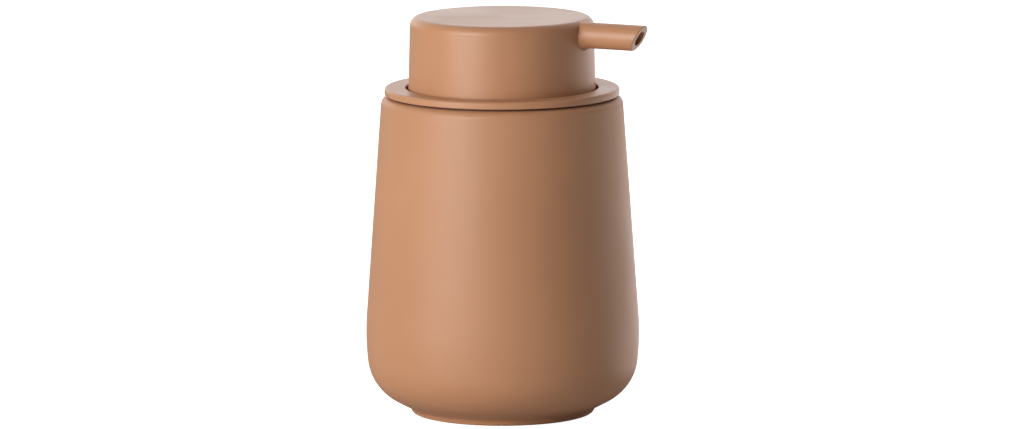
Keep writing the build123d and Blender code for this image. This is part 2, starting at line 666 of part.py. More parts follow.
with BuildPart() as dip_tube:
    with BuildSketch(Plane.XY.offset(TUBE_BOTTOM_Z)):
        Circle(TUBE_RADIUS)
        Circle(TUBE_BORE_RADIUS, mode=Mode.SUBTRACT)
    extrude(amount=SOCKET_TOP_Z - TUBE_BOTTOM_Z)
    split(
        bisect_by=Plane(
            origin=(TUBE_RADIUS, 0, TUBE_BOTTOM_Z),
            z_dir=(sin(radians(TUBE_END_SLANT)), 0, cos(radians(TUBE_END_SLANT))),
        ),
        keep=Keep.TOP,
    )
dip_tube.part.label = "dip_tube"
export_step(dip_tube.part, "parts/dip_tube.step")
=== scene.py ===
import json
from math import asin, cos, pi, radians, sin, tan

import bmesh
import bpy
from mathutils import Matrix, Quaternion, Vector

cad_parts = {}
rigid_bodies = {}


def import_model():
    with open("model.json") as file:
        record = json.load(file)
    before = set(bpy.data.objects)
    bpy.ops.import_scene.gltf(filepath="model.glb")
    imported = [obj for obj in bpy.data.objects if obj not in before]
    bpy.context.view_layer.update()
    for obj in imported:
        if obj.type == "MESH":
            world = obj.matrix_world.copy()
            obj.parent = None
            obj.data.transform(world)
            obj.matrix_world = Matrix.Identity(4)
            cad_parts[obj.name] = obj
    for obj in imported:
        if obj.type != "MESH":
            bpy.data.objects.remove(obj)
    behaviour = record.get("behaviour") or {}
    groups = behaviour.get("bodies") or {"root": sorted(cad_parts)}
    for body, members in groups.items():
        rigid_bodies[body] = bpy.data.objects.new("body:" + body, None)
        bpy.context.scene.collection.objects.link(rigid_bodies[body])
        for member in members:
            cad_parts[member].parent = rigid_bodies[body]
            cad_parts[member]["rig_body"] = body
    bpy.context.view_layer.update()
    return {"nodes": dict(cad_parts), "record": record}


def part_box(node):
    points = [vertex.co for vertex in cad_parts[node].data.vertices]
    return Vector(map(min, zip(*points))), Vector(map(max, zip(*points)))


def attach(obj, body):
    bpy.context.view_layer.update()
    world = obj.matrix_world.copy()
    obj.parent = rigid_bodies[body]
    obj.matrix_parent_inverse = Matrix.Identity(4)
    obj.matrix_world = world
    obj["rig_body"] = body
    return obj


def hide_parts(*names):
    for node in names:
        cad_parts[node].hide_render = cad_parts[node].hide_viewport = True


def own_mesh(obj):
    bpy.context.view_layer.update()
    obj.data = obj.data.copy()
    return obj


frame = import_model()

# Soap pump dispenser. Lengths below are in millimetres, and MM takes them to metres where a mesh
# is made. Heights and radii come from the frame, and the other values are the piece's own.
MM = 0.001
MERGE_DISTANCE = 1e-6
FULL_TURN = 2 * pi
ROUND_STEPS = 192
SMALL_ROUND_STEPS = 96
CORNER_STEPS = 6
HEEL_STEPS = 20
BELLY_STEPS = 10
FLARE_STEPS = 12
WIRE_STEPS = 14
COIL_STEPS = 36
SHARP_ANGLE = radians(38)


def heights(node):
    """The lowest and highest z of a node, in millimetres."""
    low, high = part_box(node)
    return low.z / MM, high.z / MM


def radius_of(node):
    """The greatest radius of a node that is round about the upright axis, in millimetres."""
    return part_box(node)[1].y / MM


# ---- sizes ----

FOOT_RADIUS = 27.1
FOOT_HEIGHT = 1.7
FOOT_LEAN = 0.5
FOOT_EDGE_ROUNDING = 0.7
FOOT_TOP_ROUNDING = 0.9
RECESS_RADIUS = 22.6
RECESS_DEPTH = 1.6
FLOOR_Z = 6.0
WALL = 4.0
FLANK_BOTTOM = Vector((39.95, 29.5))
FLANK_ANGLE = radians(4.08)
BELLY_RADIUS = 79.3
BELLY_END_ANGLE = radians(6.1)
HEEL_RADIUS = 14.5
HEEL_END_ANGLE = radians(63.5)
RIM_ROUNDING = 2.2
MOUTH_RADIUS = 31.8
MOUTH_DEPTH = 9.7

RING_HOLE_RADIUS = 28.3
RING_THICKNESS = 2.15
LIP_RADIUS = 29.1

WELL_FLOOR_THICKNESS = 1.8
WELL_HOLE_RADIUS = 8.1
SEAL_SLEEVE_RADIUS = 30.9
SEAL_RIB_RADIUS = 31.7
SEAL_RIB_COUNT = 4
SEAL_RIB_PITCH = 2.2
SEAL_FIRST_RIB = 1.0
SEAL_RIB_HALF_FOOT = 0.5
SEAL_FLANGE_THICKNESS = 0.53

HEAD_TOP_RADIUS = 26.9
HEAD_ROUNDING = 2.5
HEAD_WALL = 1.7
HEAD_TOP_THICKNESS = 1.5

SPOUT_Z = 113.15
SPOUT_RADIUS = 3.8
SPOUT_BORE_RADIUS = 2.0
SPOUT_REACH = 44.9
SPOUT_SLANT = radians(27)
SPOUT_ROOT_START = 25.4
SPOUT_ROOT_END = 29.4
SPOUT_ROOT_GROWTH = 1.5
SPOUT_LIP_LENGTH = 5.0
SPOUT_EDGE_ROUNDING = 0.35
LINER_RADIUS = 2.35

BARREL_RADIUS = 7.7
BARREL_BORE_RADIUS = 6.5
BARREL_FLANGE_RADIUS = 11.6
BARREL_FLANGE_THICKNESS = 1.4
BARREL_SHOULDER_Z = 45.0
CHAMBER_RADIUS = 3.2
CHAMBER_OUTER_RADIUS = 4.8
CHAMBER_Z = 42.9
CHAMBER_OUTER_Z = 43.5
SEAT_RADIUS = 1.3
SEAT_Z = 41.0
SOCKET_RADIUS = 2.62
SOCKET_OUTER_RADIUS = 3.8
SOCKET_Z = 39.5
THREAD_TURNS = 3
THREAD_PITCH = 2.4
THREAD_DEPTH = 0.35
THREAD_SINK = 0.1
THREAD_HALF_FOOT = 0.55
THREAD_HALF_CREST = 0.15
THREAD_START = 0.4
NUT_BORE_RADIUS = 7.75
NUT_CHAMFER_EXTRA = 0.3
NUT_CHAMFER_STEEPNESS = 0.6
TUBE_BORE_RADIUS = 1.8
TUBE_END_SLANT = radians(35)
TUBE_SPARE_LENGTH = 1.0
WIRE_RADIUS = 0.45
SPRING_PITCH = 2.6

# ---- the camera: far away with a long lens, spout to the right and a little nearer than the axis ----

CAMERA_DISTANCE = 2.5
CAMERA_TURN = radians(26.9)
CAMERA_RISE = radians(8.6)
CAMERA_ROLL = radians(-0.16)
CAMERA_LENS = 299.8
CAMERA_CLIP_END = 20
AIM_HEIGHT = 58.47 * MM
AIM_RIGHT = 2.52 * MM

right = Vector((cos(CAMERA_TURN), sin(CAMERA_TURN), 0))
towards_camera = Vector((sin(CAMERA_TURN), -cos(CAMERA_TURN), 0))
aim = right * AIM_RIGHT + Vector((0, 0, AIM_HEIGHT))
line_of_sight = towards_camera * cos(CAMERA_RISE) + Vector((0, 0, sin(CAMERA_RISE)))
scene = bpy.context.scene
camera_data = bpy.data.cameras.new("camera")
camera_data.lens = CAMERA_LENS
camera_data.clip_end = CAMERA_CLIP_END
camera = bpy.data.objects.new("camera", camera_data)
camera.location = aim + line_of_sight * CAMERA_DISTANCE
facing_back = line_of_sight.to_track_quat("Z", "Y")
camera.rotation_euler = (facing_back @ Quaternion((0, 0, 1), CAMERA_ROLL)).to_euler()
scene.collection.objects.link(camera)
scene.camera = camera


# ---- node groups that several materials share ----

def new_group(name, inputs, outputs):
    """An empty shader node group with named float inputs and outputs."""
    group = bpy.data.node_groups.new(name, "ShaderNodeTree")
    for label, value in inputs:
        socket = group.interface.new_socket(label, in_out="INPUT", socket_type="NodeSocketFloat")
        socket.default_value = value
    for label in outputs:
        group.interface.new_socket(label, in_out="OUTPUT", socket_type="NodeSocketFloat")
    return group, group.nodes.new("NodeGroupInput"), group.nodes.new("NodeGroupOutput")


def noise(tree, vector, scale, detail=2.0, roughness=0.5):
    """A noise texture on a vector; scale is a number or a socket."""
    node = tree.nodes.new("ShaderNodeTexNoise")
    node.inputs["Detail"].default_value = detail
    node.inputs["Roughness"].default_value = roughness
    tree.links.new(vector, node.inputs["Vector"])
    if isinstance(scale, bpy.types.NodeSocket):
        tree.links.new(scale, node.inputs["Scale"])
    else:
        node.inputs["Scale"].default_value = scale
    return node.outputs["Fac"]


def maths(tree, operation, first, second=0.0, clamp=False):
    """A Math node; its arguments are numbers or sockets."""
    node = tree.nodes.new("ShaderNodeMath")
    node.operation = operation
    node.use_clamp = clamp
    for socket, value in zip(node.inputs, (first, second)):
        if isinstance(value, bpy.types.NodeSocket):
            tree.links.new(value, socket)
        else:
            socket.default_value = value
    return node.outputs[0]


def between(tree, value, low, high, new_low=0.0, new_high=1.0):
    """Value mapped from one range to another, with soft ends."""
    node = tree.nodes.new("ShaderNodeMapRange")
    node.interpolation_type = "SMOOTHSTEP"
    tree.links.new(value, node.inputs["Value"])
    node.inputs["From Min"].default_value = low
    node.inputs["From Max"].default_value = high
    node.inputs["To Min"].default_value = new_low
    node.inputs["To Max"].default_value = new_high
    return node.outputs["Result"]


def make_surface_group():
    """Fine grain as a height, and broad mottling as a mask."""
    group, given, made = new_group(
        "moulded_surface",
        [("Grain Scale", 900.0), ("Mottle Scale", 40.0)],
        ["Grain", "Mottle"],
    )
    place = group.nodes.new("ShaderNodeTexCoord").outputs["Object"]
    fine = noise(group, place, given.outputs["Grain Scale"], 3.0, 0.6)
    coarse = noise(group, place, maths(group, "MULTIPLY", given.outputs["Grain Scale"], 0.31), 2.0)
    grain = maths(group, "ADD", maths(group, "MULTIPLY", fine, 0.65), maths(group, "MULTIPLY", coarse, 0.35))
    broad = noise(group, place, given.outputs["Mottle Scale"], 3.0, 0.55)
    group.links.new(grain, made.inputs["Grain"])
    group.links.new(between(group, broad, 0.3, 0.7), made.inputs["Mottle"])
    return group


def make_edge_group():
    """A mask of the convex edges for a painted highlight, broken up by noise."""
    group, given, made = new_group("painted_edge_highlight", [("Low", 0.52), ("High", 0.62)], ["Edge"])
    place = group.nodes.new("ShaderNodeTexCoord").outputs["Object"]
    point = group.nodes.new("ShaderNodeNewGeometry").outputs["Pointiness"]
    span = maths(group, "SUBTRACT", given.outputs["High"], given.outputs["Low"])
    share = maths(group, "DIVIDE", maths(group, "SUBTRACT", point, given.outputs["Low"]), span, clamp=True)
    patches = between(group, noise(group, place, 260.0, 3.0), 0.3, 0.6, 0.35, 1.0)
    group.links.new(maths(group, "MULTIPLY", share, patches), made.inputs["Edge"])
    return group


surface_group = make_surface_group()
edge_group = make_edge_group()


def use_group(tree, group, **values):
    node = tree.nodes.new("ShaderNodeGroup")
    node.node_tree = group
    for label, value in values.items():
        node.inputs[label.replace("_", " ").title()].default_value = value
    return node


def mix_colour(tree, mask, first, second):
    """Two colours mixed by a mask; each is a colour or a socket."""
    node = tree.nodes.new("ShaderNodeMix")
    node.data_type = "RGBA"
    tree.links.new(mask, node.inputs["Factor"])
    for name, value in (("A", first), ("B", second)):
        socket = [s for s in node.inputs if s.name == name and s.type == "RGBA"][0]
        if isinstance(value, bpy.types.NodeSocket):
            tree.links.new(value, socket)
        else:
            socket.default_value = (*value, 1)
    return [s for s in node.outputs if s.type == "RGBA"][0]


def linear(red, green, blue):
    """A display colour, 0 to 255, as linear light."""
    return tuple(
        c / 12.92 if c <= 0.04045 else ((c + 0.055) / 1.055) ** 2.4
        for c in (red / 255, green / 255, blue / 255)
    )


def darker(colour, share):
    return tuple(c * share for c in colour)


def moulded(name, colour, roughness, grain=0.02, grain_scale=900.0, mottle_scale=40.0, variation=0.05,
            edge=0.15, metallic=0.0, subsurface=0.0):
    """A material with fine grain, broad mottling and a painted highlight on its convex edges; grain is its
    depth in mm.
    """
    material = bpy.data.materials.new(name)
    material.use_nodes = True
    tree = material.node_tree
    shader = tree.nodes["Principled BSDF"]
    surface = use_group(tree, surface_group, grain_scale=grain_scale, mottle_scale=mottle_scale)
    edge_highlight_node = use_group(tree, edge_group)
    mottled = mix_colour(tree, surface.outputs["Mottle"], darker(colour, 1 - variation), colour)
    # painted highlight: the colour is lightened 35 per cent of the way to white along the convex edges
    edge_highlight_colour = tuple(c + (1 - c) * 0.35 for c in colour)
    edge_highlight_mask = maths(tree, "MULTIPLY", edge_highlight_node.outputs["Edge"], edge)
    tree.links.new(mix_colour(tree, edge_highlight_mask, mottled, edge_highlight_colour), shader.inputs["Base Color"])
    rough = between(tree, surface.outputs["Mottle"], 0.0, 1.0, roughness * 0.93, roughness * 1.07)
    tree.links.new(rough, shader.inputs["Roughness"])
    bump = tree.nodes.new("ShaderNodeBump")
    bump.inputs["Strength"].default_value = 1.0
    bump.inputs["Distance"].default_value = grain * MM
    tree.links.new(surface.outputs["Grain"], bump.inputs["Height"])
    tree.links.new(bump.outputs["Normal"], shader.inputs["Normal"])
    shader.inputs["Metallic"].default_value = metallic
    shader.inputs["Subsurface Weight"].default_value = subsurface
    shader.inputs["Subsurface Scale"].default_value = 2 * MM
    return material


# ---- materials ----

TERRACOTTA = (0.50, 0.238, 0.119)
BARE_CLAY = linear(196, 160, 130)


def make_stoneware():
    """The soft matt glaze, with bare clay where the foot ring stands."""
    material = moulded(
        "stoneware_glaze", TERRACOTTA, 0.5, grain=0.012, grain_scale=1100.0, mottle_scale=28.0
    )
    tree = material.node_tree
    shader = tree.nodes["Principled BSDF"]
    place = tree.nodes.new("ShaderNodeTexCoord").outputs["Object"]
    split = tree.nodes.new("ShaderNodeSeparateXYZ")
    tree.links.new(place, split.inputs[0])
    wavy = maths(tree, "MULTIPLY", noise(tree, place, 300.0), 0.5 * MM)
    foot = between(tree, maths(tree, "SUBTRACT", split.outputs["Z"], wavy), 0.25 * MM, 0.0)
    glaze = shader.inputs["Base Color"].links[0].from_socket
    tree.links.new(mix_colour(tree, foot, glaze, BARE_CLAY), shader.inputs["Base Color"])
    return material


stoneware = make_stoneware()
soft_coat = moulded("soft_coat", TERRACOTTA, 0.42, grain=0.010, grain_scale=1400.0, mottle_scale=34.0)
# the well cup's dark warm colour is partly painted shade: it also stands for the shade in the slit between
# head and ring
cup_plastic = moulded("cup_plastic", linear(62, 44, 34), 0.55, grain=0.02, grain_scale=700.0)
pump_plastic = moulded(
    "pump_plastic", linear(232, 231, 225), 0.32, grain=0.004, variation=0.03, subsurface=0.15
)
tube_plastic = moulded(
    "tube_plastic", linear(222, 226, 222), 0.22, grain=0.003, variation=0.03, subsurface=0.3
)
# the seal's dark warm colour is partly painted shade: it stands for the shade in the gap under the trim ring
silicone = moulded("silicone", linear(78, 48, 36), 0.6, grain=0.006, grain_scale=600.0)
steel = moulded("steel", linear(190, 190, 194), 0.24, grain=0.004, grain_scale=2400.0, metallic=1.0, edge=0.0)
finishes = {
    "stoneware": stoneware,
    "soft_coat": soft_coat,
    "cup_plastic": cup_plastic,
    "pump_plastic": pump_plastic,
    "tube_plastic": tube_plastic,
    "silicone": silicone,
    "steel": steel,
}
slot_of = {part["node"]: part["material_slot"] for part in frame["record"]["subparts"]}


# ---- making pieces ----

class Outline:
    """A line drawn in the half plane of radius and height that spin turns into a round piece."""

    def __init__(self, radius, height):
        self.mesh = bmesh.new()
        self.tip = self.mesh.verts.new((radius * MM, 0, height * MM))
        self.first = self.tip
        self.corners = []

    def to(self, radius, height, rounding=0.0):
        self.tip = bmesh.ops.extrude_vert_indiv(self.mesh, verts=[self.tip])["verts"][0]
        self.tip.co = (radius * MM, 0, height * MM)
        if rounding:
            self.corners.append((self.tip, rounding))
        return self

    def arc(self, centre, turn, steps):
        """Goes on round a centre, anticlockwise where turn is positive."""
        made = bmesh.ops.spin(
            self.mesh,
            geom=[self.tip],
            cent=(centre.x * MM, 0, centre.y * MM),
            axis=(0, -1, 0),
            angle=turn,
            steps=steps,
            use_merge=False,
        )
        self.tip = [item for item in made["geom_last"] if isinstance(item, bmesh.types.BMVert)][0]
        return self

    def close(self):
        self.mesh.edges.new((self.tip, self.first))
        return self

    def turned(self, steps=ROUND_STEPS):
        """Rounds the corners, then spins the line about the upright axis."""
        for corner, rounding in self.corners:
            bmesh.ops.bevel(
                self.mesh,
                geom=[corner],
                offset=rounding * MM,
                offset_type="OFFSET",
                segments=CORNER_STEPS,
                profile=0.5,
                affect="VERTICES",
                material=-1,
            )
        bmesh.ops.spin(
            self.mesh,
            geom=self.mesh.verts[:] + self.mesh.edges[:],
            cent=(0, 0, 0),
            axis=(0, 0, 1),
            angle=FULL_TURN,
            steps=steps,
            use_merge=True,
        )
        return self.mesh


def through(*corners):
    """A closed outline through (radius, height) or (radius, height, rounding) corners; the first is sharp."""
    line = Outline(*corners[0][:2])
    for corner in corners[1:]:
        line.to(*corner)
    return line.close()


def add_piece(name, mesh, node):
    """Makes an object of the mesh that stands for a node: its body, slot and finish are the node's."""
    bmesh.ops.remove_doubles(mesh, verts=mesh.verts, dist=MERGE_DISTANCE)
    bmesh.ops.recalc_face_normals(mesh, faces=mesh.faces)
    data = bpy.data.meshes.new(name)
    mesh.to_mesh(data)
    mesh.free()
    data.shade_smooth()
    data.set_sharp_from_angle(angle=SHARP_ANGLE)
    piece = bpy.data.objects.new(name, data)
    scene.collection.objects.link(piece)
    normals = piece.modifiers.new("even_shading", "WEIGHTED_NORMAL")
    normals.keep_sharp = True
    data.materials.append(finishes[slot_of[node]])
    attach(piece, frame["nodes"][node]["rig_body"])
    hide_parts(node)
    return piece


def cut(mesh, point, direction):
    """Takes away what lies beyond a plane and gives the edges of the cut."""
    made = bmesh.ops.bisect_plane(
        mesh,
        geom=mesh.verts[:] + mesh.edges[:] + mesh.faces[:],
        dist=MERGE_DISTANCE,
        plane_co=point,
        plane_no=direction,
        clear_outer=True,
        clear_inner=False,
    )
    return [item for item in made["geom_cut"] if isinstance(item, bmesh.types.BMEdge)]


def polar(radius, angle):
    """A point at an angle below the horizontal, as (radius, height)."""
    return Vector((cos(angle), -sin(angle))) * radius


# ---- bottle ----

def make_bottle():
    rim_z = heights("bottle")[1]
    rim_radius = FLANK_BOTTOM.x - (rim_z - FLANK_BOTTOM.y) * tan(FLANK_ANGLE)
    belly = FLANK_BOTTOM - Vector((cos(FLANK_ANGLE), sin(FLANK_ANGLE))) * BELLY_RADIUS
    heel = belly + polar(BELLY_RADIUS - HEEL_RADIUS, BELLY_END_ANGLE)
    heel_start = heel + polar(HEEL_RADIUS, HEEL_END_ANGLE)
    inner_heel_start = heel + polar(HEEL_RADIUS - WALL, HEEL_END_ANGLE)
    floor_radius = inner_heel_start.x - (inner_heel_start.y - FLOOR_Z) * tan(HEEL_END_ANGLE)
    heel_turn = HEEL_END_ANGLE - BELLY_END_ANGLE
    belly_turn = BELLY_END_ANGLE + FLANK_ANGLE
    line = Outline(0, RECESS_DEPTH)
    line.to(RECESS_RADIUS, RECESS_DEPTH, 0.8).to(RECESS_RADIUS, 0, 0.5)
    line.to(FOOT_RADIUS - FOOT_LEAN, 0, FOOT_EDGE_ROUNDING)
    line.to(FOOT_RADIUS + FOOT_LEAN / 2, FOOT_HEIGHT, FOOT_TOP_ROUNDING)
    line.to(*heel_start).arc(heel, heel_turn, HEEL_STEPS).arc(belly, belly_turn, BELLY_STEPS)
    line.to(rim_radius, rim_z, RIM_ROUNDING).to(MOUTH_RADIUS, rim_z, 0.8)
    line.to(MOUTH_RADIUS, rim_z - MOUTH_DEPTH, 3)
    line.to(FLANK_BOTTOM.x - WALL * cos(FLANK_ANGLE), FLANK_BOTTOM.y - WALL * sin(FLANK_ANGLE))
    line.arc(belly, -belly_turn, BELLY_STEPS).arc(heel, -heel_turn, HEEL_STEPS)
    line.to(floor_radius, FLOOR_Z, 2).to(0, FLOOR_Z)
    add_piece("stoneware_bottle", line.turned(), "bottle")


make_bottle()


# ---- trim ring, well cup and mouth seal ----

def make_ring():
    lip_z, top_z = heights("trim_ring")
    outer = radius_of("trim_ring")
    under_z = top_z - RING_THICKNESS
    line = through(
        (LIP_RADIUS, under_z),
        (LIP_RADIUS, lip_z, 0.25),
        (RING_HOLE_RADIUS, lip_z, 0.25),
        (RING_HOLE_RADIUS, top_z, 0.35),
        (outer, top_z, 0.8),
        (outer, under_z, 0.3),
    )
    add_piece("flat_trim_ring", line.turned(), "trim_ring")


def make_well_cup():
    bottom_z, top_z = heights("well_cup")
    outer = radius_of("well_cup")
    floor_z = bottom_z + WELL_FLOOR_THICKNESS
    line = through(
        (outer, top_z),
        (LIP_RADIUS, top_z),
        (LIP_RADIUS, floor_z, 0.8),
        (WELL_HOLE_RADIUS, floor_z, 0.2),
        (WELL_HOLE_RADIUS, bottom_z, 0.2),
        (outer, bottom_z, 1.5),
    )
    add_piece("drum_well_cup", line.turned(), "well_cup")


def make_mouth_seal():
    bottom_z, top_z = heights("mouth_seal")
    inner = radius_of("well_cup")
    flange = radius_of("mouth_seal")
    under_z = top_z - SEAL_FLANGE_THICKNESS
    line = Outline(inner, top_z).to(inner, bottom_z, 0.1).to(SEAL_SLEEVE_RADIUS, bottom_z, 0.2)
    for index in range(SEAL_RIB_COUNT):
        rib_z = bottom_z + SEAL_FIRST_RIB + index * SEAL_RIB_PITCH
        line.to(SEAL_SLEEVE_RADIUS, rib_z - SEAL_RIB_HALF_FOOT).to(SEAL_RIB_RADIUS, rib_z - 0.1, 0.12)
        line.to(SEAL_RIB_RADIUS, rib_z + 0.2, 0.12).to(SEAL_SLEEVE_RADIUS, rib_z + SEAL_RIB_HALF_FOOT)
    line.to(SEAL_SLEEVE_RADIUS, under_z, 0.15).to(flange, under_z, 0.15).to(flange, top_z, 0.15).close()
    add_piece("ribbed_mouth_seal", line.turned(), "mouth_seal")


make_ring()
make_well_cup()
make_mouth_seal()


# ---- head shell and spout ----

def make_head_shell():
    skirt_z, top_z = heights("head_shell")
    skirt = radius_of("head_shell")
    ceiling_z = top_z - HEAD_TOP_THICKNESS
    line = Outline(0, top_z).to(HEAD_TOP_RADIUS, top_z, HEAD_ROUNDING)
    line.to(skirt, skirt_z, 0.4).to(skirt - HEAD_WALL, skirt_z, 0.3)
    line.to(HEAD_TOP_RADIUS - HEAD_WALL, ceiling_z, 0.8).to(0, ceiling_z)
    add_piece("drum_head", line.turned(), "head_shell")


def make_spout():
    """The tube is turned upright, laid along +X, and its root grows only downwards."""
    root_length = SPOUT_ROOT_END - SPOUT_ROOT_START
    flare_radius = (root_length ** 2 + SPOUT_ROOT_GROWTH ** 2) / (2 * SPOUT_ROOT_GROWTH)
    flare_turn = asin(root_length / flare_radius)
    flare_centre = Vector((SPOUT_RADIUS + flare_radius, SPOUT_ROOT_END))
    end = SPOUT_REACH + SPOUT_RADIUS
    shoulder = SPOUT_REACH - SPOUT_LIP_LENGTH
    line = Outline(LINER_RADIUS, SPOUT_ROOT_START).to(LINER_RADIUS, shoulder)
    line.to(SPOUT_BORE_RADIUS, shoulder, 0.2).to(SPOUT_BORE_RADIUS, end).to(SPOUT_RADIUS, end)
    line.to(SPOUT_RADIUS, SPOUT_ROOT_END).arc(flare_centre, flare_turn, FLARE_STEPS).close()
    mesh = line.turned(SMALL_ROUND_STEPS)
    bmesh.ops.remove_doubles(mesh, verts=mesh.verts, dist=MERGE_DISTANCE)
    for vertex in mesh.verts:
        out = vertex.co.xy.length
        if out > SPOUT_RADIUS * MM:
            vertex.co.x += out - SPOUT_RADIUS * MM
            vertex.co.y *= SPOUT_RADIUS * MM / out
    bmesh.ops.rotate(mesh, cent=(0, 0, 0), matrix=Matrix.Rotation(radians(90), 3, "Y"), verts=mesh.verts)
    bmesh.ops.translate(mesh, vec=(0, 0, SPOUT_Z * MM), verts=mesh.verts)
    tip = Vector((SPOUT_REACH, 0, SPOUT_Z)) * MM
    rim = cut(mesh, tip, Vector((cos(SPOUT_SLANT), 0, -sin(SPOUT_SLANT))))
    bmesh.ops.bridge_loops(mesh, edges=rim)
    bmesh.ops.recalc_face_normals(mesh, faces=mesh.faces)
    bmesh.ops.bevel(
        mesh,
        geom=rim,
        offset=SPOUT_EDGE_ROUNDING * MM,
        offset_type="OFFSET",
        segments=4,
        profile=0.5,
        affect="EDGES",
        material=-1,
    )
    add_piece("slant_cut_spout", mesh, "spout")


make_head_shell()
make_spout()


# ---- pump: housing with its thread, nut, dip tube and spring ----

def make_housing():
    bottom_z, top_z = heights("pump_housing")
    flange_z = top_z - BARREL_FLANGE_THICKNESS
    ledge_z = heights("ball_cage")[0]
    line = through(
        (BARREL_BORE_RADIUS, top_z),
        (BARREL_BORE_RADIUS, ledge_z, 0.3),
        (CHAMBER_RADIUS, ledge_z),
        (CHAMBER_RADIUS, CHAMBER_Z),
        (SEAT_RADIUS, SEAT_Z),
        (SEAT_RADIUS, SOCKET_Z),
        (SOCKET_RADIUS, SOCKET_Z),
        (SOCKET_RADIUS, bottom_z),
        (SOCKET_OUTER_RADIUS, bottom_z, 0.3),
        (SOCKET_OUTER_RADIUS, SOCKET_Z, 0.5),
        (CHAMBER_OUTER_RADIUS, SEAT_Z, 0.5),
        (CHAMBER_OUTER_RADIUS, CHAMBER_OUTER_Z, 0.5),
        (BARREL_RADIUS, BARREL_SHOULDER_Z, 0.8),
        (BARREL_RADIUS, flange_z, 0.3),
        (BARREL_FLANGE_RADIUS, flange_z, 0.3),
        (BARREL_FLANGE_RADIUS, top_z, 0.3),
    )
    mesh = line.turned(SMALL_ROUND_STEPS)
    add_thread(mesh, heights("pump_nut")[0])
    add_piece("pump_barrel", mesh, "pump_housing")


def add_thread(mesh, top_z):
    """A helical ridge that runs down the barrel from the nut's lower face."""
    ridge = [
        mesh.verts.new(((BARREL_RADIUS + out) * MM, 0, (top_z - THREAD_START + rise) * MM))
        for out, rise in (
            (-THREAD_SINK, -THREAD_HALF_FOOT),
            (THREAD_DEPTH, -THREAD_HALF_CREST),
            (THREAD_DEPTH, THREAD_HALF_CREST),
            (-THREAD_SINK, THREAD_HALF_FOOT),
        )
    ]
    section = mesh.faces.new(ridge)
    steps = SMALL_ROUND_STEPS * THREAD_TURNS
    bmesh.ops.spin(
        mesh,
        geom=[section, *section.edges, *section.verts],
        cent=(0, 0, 0),
        axis=(0, 0, 1),
        dvec=(0, 0, -THREAD_PITCH * THREAD_TURNS / steps * MM),
        angle=FULL_TURN * THREAD_TURNS,
        steps=steps,
        use_merge=False,
    )


def make_nut():
    """A turned ring with chamfered ends whose six flats are cut away."""
    bottom_z, top_z = heights("pump_nut")
    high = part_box("pump_nut")[1]
    across_corners = high.x / MM
    across_flats = high.y
    chamfer = across_corners - across_flats / MM + NUT_CHAMFER_EXTRA
    line = through(
        (NUT_BORE_RADIUS, top_z),
        (NUT_BORE_RADIUS, bottom_z),
        (across_corners - chamfer, bottom_z, 0.2),
        (across_corners, bottom_z + chamfer * NUT_CHAMFER_STEEPNESS, 0.2),
        (across_corners, top_z - chamfer * NUT_CHAMFER_STEEPNESS, 0.2),
        (across_corners - chamfer, top_z, 0.2),
    )
    mesh = line.turned(SMALL_ROUND_STEPS)
    bmesh.ops.remove_doubles(mesh, verts=mesh.verts, dist=MERGE_DISTANCE)
    for side in range(6):
        out = Matrix.Rotation(radians(60 * side + 30), 3, "Z") @ Vector((1, 0, 0))
        flat = cut(mesh, out * across_flats, out)
        bmesh.ops.contextual_create(mesh, geom=flat)
    add_piece("hexagon_nut", mesh, "pump_nut")


def make_dip_tube():
    bottom_z, top_z = heights("dip_tube")
    outer = radius_of("dip_tube")
    line = through(
        (TUBE_BORE_RADIUS, bottom_z - TUBE_SPARE_LENGTH),
        (TUBE_BORE_RADIUS, top_z),
        (outer, top_z),
        (outer, bottom_z - TUBE_SPARE_LENGTH),
    )
    mesh = line.turned(SMALL_ROUND_STEPS)
    bmesh.ops.remove_doubles(mesh, verts=mesh.verts, dist=MERGE_DISTANCE)
    point = Vector((outer, 0, bottom_z)) * MM
    rim = cut(mesh, point, Vector((-sin(TUBE_END_SLANT), 0, -cos(TUBE_END_SLANT))))
    bmesh.ops.bridge_loops(mesh, edges=rim)
    add_piece("suction_tube", mesh, "dip_tube")


def make_spring():
    """A coil with capped ends, with a mesh of its own."""
    bottom_z, top_z = heights("return_spring")
    coil_radius = radius_of("return_spring") - WIRE_RADIUS
    rise = top_z - bottom_z - 2 * WIRE_RADIUS
    turns = rise / SPRING_PITCH
    steps = int(COIL_STEPS * turns)
    mesh = bmesh.new()
    place = Matrix.Translation(Vector((coil_radius, 0, bottom_z + WIRE_RADIUS)) * MM)
    upright = place @ Matrix.Rotation(radians(90), 4, "X")
    bmesh.ops.create_circle(
        mesh, cap_ends=True, radius=WIRE_RADIUS * MM, segments=WIRE_STEPS, matrix=upright
    )
    bmesh.ops.spin(
        mesh,
        geom=mesh.faces[:] + mesh.edges[:] + mesh.verts[:],
        cent=(0, 0, 0),
        axis=(0, 0, 1),
        dvec=(0, 0, rise / steps * MM),
        angle=FULL_TURN * turns,
        steps=steps,
        use_merge=False,
    )
    spring = add_piece("coil_spring", mesh, "return_spring")
    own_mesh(spring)


make_housing()
make_nut()
make_dip_tube()
make_spring()

# the nodes that keep their own mesh get the finish of their slot
for node, part in frame["nodes"].items():
    if not part.hide_render:
        for holder in part.material_slots:
            holder.material = finishes[slot_of[node]]


# ---- floor, lights and surroundings; lengths here are in metres ----

FLOOR_RADIUS = 8.0
FLOOR_SEEN_GLOW = 0.9
FLOOR_LIT_GREY = 0.64
FLOOR_SHEEN_SHIFT = 1.1
FLOOR_SHEEN_HEIGHT = 0.5 * MM
BACK_SHEEN_HEIGHT = 0.1
GLOW_IN_FRONT = 0.13
GLOW_BEHIND = 0.9


